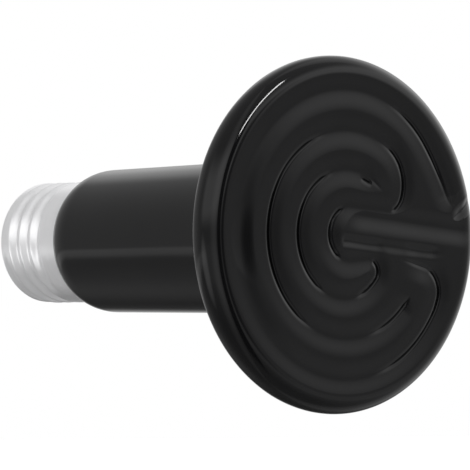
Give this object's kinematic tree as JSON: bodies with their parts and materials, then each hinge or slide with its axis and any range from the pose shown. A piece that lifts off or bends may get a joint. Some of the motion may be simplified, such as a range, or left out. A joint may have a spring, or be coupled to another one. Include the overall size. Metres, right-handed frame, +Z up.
{
  "type": "ceramic heat emitter",
  "caption": "Black glazed ceramic heat emitter: flat disc with a serpentine ridged face on a plain neck, with a screw lamp cap.",
  "frame": {"origin": "on the axis, at the plane of the screw shell's open rim, where the ceramic's seat meets it", "axes": "+Y along the axis, out through the cap's tip, so the ridged face looks along -Y; +Z is up and +X is the viewer's right as the picture shows the emitter lying level"},
  "size_m": [0.075, 0.1056, 0.075],
  "materials": {
    "black_glaze": "gloss",
    "resistance_wire": "matte",
    "nickel_wire": "satin",
    "white_ceramic": "matte",
    "cement": "matte",
    "shell_metal": "satin",
    "black_glass": "gloss",
    "contact_brass": "satin",
    "solder": "satin"
  },
  "bodies": {
    "root": {"ceramic_body": "black_glaze", "heating_coil": "resistance_wire", "lead_to_contact": "nickel_wire", "sleeve_on_contact_lead": "white_ceramic", "lead_to_shell": "nickel_wire", "sleeve_on_shell_lead": "white_ceramic", "cap_cement": "cement", "screw_shell": "shell_metal", "cap_insulator": "black_glass", "centre_contact": "contact_brass", "solder_tip": "solder"}
  },
  "joints": []
}
